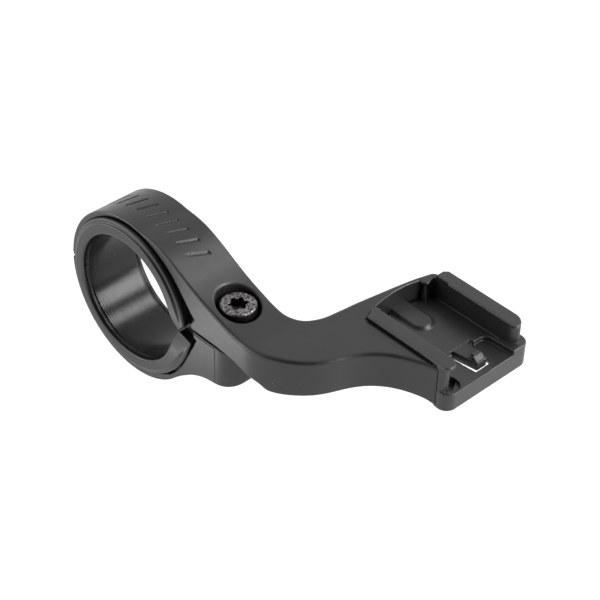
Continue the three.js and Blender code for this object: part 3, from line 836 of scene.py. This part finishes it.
def moulded_plastic(name, shade, roughness, grain, rings=0.0):
    """Dark moulded plastic: fine spark grain, faint flow marks, a few specks of dust, and a painted highlight
    that lightens sharp edges.

    Rings, given as a height in millimetres, are turning marks around Y. With them the bore is smoother.
    """
    m = Nodes(name)
    flow = m.ramp(m.noise(9, 3), 0.92, 1.08, 0.3, 0.7)
    fine = m.noise(0.16, 2, 0.6)
    tone = m.math("MULTIPLY", flow, m.ramp(fine, 0.9, 1.1, 0.3, 0.7))
    # Painted highlight: the colour is lighter where the surface is sharply convex, standing in for the light
    # that the rounded edges catch.
    painted_edge_highlight = m.ramp(m.add("ShaderNodeNewGeometry").outputs["Pointiness"], 0.0, 0.5, 0.52, 0.62)
    colour = m.mix(m.math("MULTIPLY", painted_edge_highlight, 0.25), tuple(shade), tuple(2 * c for c in shade))
    scaled = m.add("ShaderNodeVectorMath", operation="SCALE")
    m.link(colour, scaled.inputs[0])
    m.link(tone, scaled.inputs["Scale"])
    dots = m.add("ShaderNodeTexVoronoi")
    dots.inputs["Scale"].default_value = 1 / (3.2 * MM)
    m.link(m.place, dots.inputs["Vector"])
    dust = m.ramp(dots.outputs["Distance"], 1.0, 0.0, 0.018, 0.034)
    m.put("Base Color", m.mix(m.math("MULTIPLY", dust, 0.55), scaled.outputs[0], (0.32, 0.31, 0.30)))
    rough = m.ramp(m.noise(1.4, 3), roughness - 0.035, roughness + 0.035, 0.3, 0.7)
    m.put("IOR", 1.5)
    normal = m.bump(fine, grain)
    if rings:
        across = m.add("ShaderNodeVectorMath", operation="MULTIPLY")
        across.inputs[1].default_value = (1, 0, 1)
        m.link(m.place, across.inputs[0])
        radius = m.add("ShaderNodeVectorMath", operation="LENGTH")
        m.link(across.outputs[0], radius.inputs[0])
        outside = m.ramp(radius.outputs["Value"], 0.0, 1.0, *BORE_EDGE)
        m.put("Specular IOR Level", m.ramp(outside, 0.33, 0.5, 0, 1))
        rough = m.math("MULTIPLY", rough, m.ramp(outside, 0.62, 1.0, 0, 1))
        wave = m.add("ShaderNodeTexNoise", noise_dimensions="1D")
        wave.inputs["Scale"].default_value = 1 / (0.55 * MM)
        wave.inputs["Detail"].default_value = 3
        split = m.add("ShaderNodeSeparateXYZ")
        m.link(m.place, split.inputs[0])
        m.link(split.outputs["Y"], wave.inputs["W"])
        normal = m.bump(wave.outputs["Fac"], rings, 1.0, normal)
    m.put("Roughness", rough)
    m.put("Normal", normal)
    return m.material


def steel(name, dark, light, roughness, grain, painted_shade_below=None):
    """Blackened steel, worn to bare metal in blotches; below painted_shade_below, if that is given, the
    blotches fade as painted shade.
    """
    m = Nodes(name)
    wear_and_painted_shade = m.ramp(m.noise(0.55, 5, 0.68), 0.0, 1.0, 0.42, 0.62)
    if painted_shade_below is not None:
        split = m.add("ShaderNodeSeparateXYZ")
        m.link(m.place, split.inputs[0])
        # Painted shade: lower down, the bright blotches fade, which darkens the head's side where the
        # counterbore shades it.
        top = m.ramp(split.outputs["Z"], 0.12, 1.0, (painted_shade_below - 0.35) * MM, painted_shade_below * MM)
        wear_and_painted_shade = m.math("MULTIPLY", wear_and_painted_shade, top)
    m.put("Base Color", m.mix(wear_and_painted_shade, tuple(dark), tuple(light)))
    m.put("Metallic", 1.0)
    m.put("Roughness", m.ramp(m.noise(0.3, 3), roughness - 0.1, roughness + 0.1, 0.3, 0.7))
    m.put("Normal", m.bump(m.noise(0.35, 4, 0.6), grain))
    return m.material


BODY_SHADE = (0.0125, 0.0120, 0.0125)
LINER_SHADE = (0.0068, 0.0066, 0.0068)
TRAY_SHADE = (0.0195, 0.0188, 0.0195)
plastic = moulded_plastic("body_plastic", BODY_SHADE, 0.34, 0.010)
liner_plastic = moulded_plastic("liner_plastic", LINER_SHADE, 0.33, 0.005, rings=0.03)
tray_plastic = moulded_plastic("tray_plastic", TRAY_SHADE, 0.36, 0.010)
# The screw's head is painted darker below its top, as shade from the counterbore.
screw_steel = steel("blackened_steel", (0.03, 0.03, 0.03), (0.34, 0.33, 0.32), 0.42, 0.03, HEAD_TOP - 0.15)
plain_steel = steel("plain_steel", (0.16, 0.16, 0.16), (0.45, 0.45, 0.44), 0.32, 0.01)


# ---------- pieces ----------

ROOM = 0.6  # space around a piece that its mesh is looked for in
moulding("arm_moulding", "bracket", "bracket_arm",
         arm, ARM_LOW - ROOM, ARM_HIGH + ROOM, FINE, plastic, whole_arm, SEAM)
moulding("jaw_moulding", "jaw", "clamp_jaw",
         jaw, JAW_LOW - ROOM, JAW_HIGH + ROOM, FINE, plastic, whole_jaw, -SEAM)
moulding("tray_moulding", "bracket", "computer_tray",
         tray, TRAY_LOW - ROOM, TRAY_HIGH + ROOM, FINE * 0.8, tray_plastic)
moulding("tongue_blade", "latch", "latch_tongue",
         tongue, TONGUE_LOW - ROOM, TONGUE_HIGH + ROOM, FINER, tray_plastic)
LINER_ROOM = np.array([2.4, ROOM, ROOM])  # more along X, for the swollen flange
moulding("liner_half_upper", "bracket", "liner_upper", liner_upper,
         np.array([-FLANGE_RADIUS, -LINER_HALF_WIDTH, 0]) - ROOM,
         np.array([FLANGE_RADIUS, LINER_HALF_WIDTH, FLANGE_RADIUS]) + LINER_ROOM,
         LINER_STEP, liner_plastic, liner, SEAM)
moulding("liner_half_lower", "jaw", "liner_lower", liner_lower,
         np.array([-FLANGE_RADIUS, -LINER_HALF_WIDTH, -FLANGE_RADIUS]) - LINER_ROOM,
         np.array([FLANGE_RADIUS, LINER_HALF_WIDTH, 0]) + LINER_ROOM,
         LINER_STEP, liner_plastic, liner, -SEAM)
moulding("cap_screw", "screw", "clamp_screw",
         screw, SCREW_LOW - ROOM, SCREW_HIGH + ROOM, FINER, screw_steel)
moulding("flat_washer", "screw_carriage", "screw_washer",
         washer, WASHER_LOW - ROOM, WASHER_HIGH + ROOM, FINER, plain_steel)
moulding("hex_nut", "jaw", "captive_nut",
         nut, NUT_LOW - ROOM, NUT_HIGH + ROOM, FINER, plain_steel)
moulding("pivot_pin", "bracket", "hinge_pin",
         pin, PIN_LOW - ROOM, PIN_HIGH + ROOM, FINER, plain_steel)


# ---------- floor, light and camera ----------


FLOOR_HALF = 6.0
# The painted pool of light on the floor: strongest about GLOW_PLACE, fading out between the GLOW_FADE
# distances.
GLOW_PLACE = (0.003, -0.040)
GLOW_STRENGTH = 4.0
GLOW_FADE = (0.006, 0.022)


def studio_floor():
    """A wide pale floor that glows as a lit sweep of paper does, and a painted pool of light, glowing more,
    where the near side mirrors it.
    """
    mesh = bpy.data.meshes.new("studio_floor")
    height = cad_low.z - 0.0005
    corners = ((-1, -1), (1, -1), (1, 1), (-1, 1))
    mesh.from_pydata([(a * FLOOR_HALF, b * FLOOR_HALF, height) for a, b in corners], [], [(0, 1, 2, 3)])
    m = Nodes("studio_paper")
    m.put("Base Color", (0.12, 0.12, 0.12))
    m.put("Roughness", 0.9)
    m.put("Emission Color", (1.0, 1.0, 1.0))
    away = m.add("ShaderNodeVectorMath", operation="DISTANCE")
    away.inputs[1].default_value = (*GLOW_PLACE, height)
    m.link(m.place, away.inputs[0])
    # Painted pool of light: the floor's emission rises near GLOW_PLACE to light the near side by its
    # reflection.
    m.put("Emission Strength", m.ramp(away.outputs["Value"], GLOW_STRENGTH, 1.0, *GLOW_FADE))
    mesh.materials.append(m.material)
    floor = bpy.data.objects.new("studio_floor", mesh)
    bpy.context.scene.collection.objects.link(floor)


def direction(azimuth, elevation):
    """A direction given in degrees. Azimuth 0 is at -Y, and 90 is at +X."""
    a, e = math.radians(azimuth), math.radians(elevation)
    return Vector((math.cos(e) * math.sin(a), -math.cos(e) * math.cos(a), math.sin(e)))


LAMP_DISTANCE = 0.7


def softbox(name, azimuth, elevation, size, watts):
    """An area lamp that faces the middle of the bracket."""
    offset = direction(azimuth, elevation) * LAMP_DISTANCE
    lamp = bpy.data.lights.new(name, "AREA")
    lamp.shape = "RECTANGLE"
    lamp.size, lamp.size_y = size
    lamp.energy = watts
    box = bpy.data.objects.new(name, lamp)
    box.location = (cad_low + cad_high) / 2 + offset
    box.rotation_euler = (-offset).to_track_quat("-Z", "Y").to_euler()
    bpy.context.scene.collection.objects.link(box)


AZIMUTH, ELEVATION, ROLL = 45.26, 38.87, 2.106
DISTANCE = 0.44536
TARGET = Vector((0.02538, 0.02324, -0.00207))
LENS_MM, SENSOR_MM = 114.0, 36.0


def product_camera():
    away = direction(AZIMUTH, ELEVATION)
    data = bpy.data.cameras.new("product_camera")
    data.lens = LENS_MM
    data.sensor_width = SENSOR_MM
    data.clip_start = 0.01
    camera = bpy.data.objects.new("product_camera", data)
    turn = (-away).to_track_quat("-Z", "Y").to_matrix() @ Matrix.Rotation(math.radians(ROLL), 3, "Z")
    camera.matrix_world = Matrix.Translation(TARGET + away * DISTANCE) @ turn.to_4x4()
    bpy.context.scene.collection.objects.link(camera)
    bpy.context.scene.camera = camera


DARK_SIDE = (0.553, -0.548, 0.628)  # from the bracket towards the camera


def studio_world(darkest, brightest):
    """An even white room that is dark behind the camera."""
    world = bpy.data.worlds.new("studio_world")
    world.use_nodes = True
    tree = world.node_tree
    facing = tree.nodes.new("ShaderNodeVectorMath")
    facing.operation = "DOT_PRODUCT"
    facing.inputs[1].default_value = DARK_SIDE
    tree.links.new(tree.nodes.new("ShaderNodeTexCoord").outputs["Generated"], facing.inputs[0])
    fade = tree.nodes.new("ShaderNodeMapRange")
    fade.interpolation_type = "SMOOTHSTEP"
    for name, value in (("From Min", 0.52), ("From Max", 0.9), ("To Min", brightest), ("To Max", darkest)):
        fade.inputs[name].default_value = value
    tree.links.new(facing.outputs["Value"], fade.inputs["Value"])
    background = tree.nodes["Background"]
    background.inputs["Color"].default_value = (1, 1, 1, 1)
    tree.links.new(fade.outputs["Result"], background.inputs["Strength"])
    bpy.context.scene.world = world


studio_floor()
studio_world(0.05, 1.0)
softbox("softbox_right", 115, 22, (0.5, 0.4), 6.0)
softbox("softbox_left", -40, 8, (0.6, 0.3), 3.0)
softbox("softbox_back", 153, 53, (0.2, 0.2), 1.2)
product_camera()
bpy.context.scene.view_settings.view_transform = "Standard"
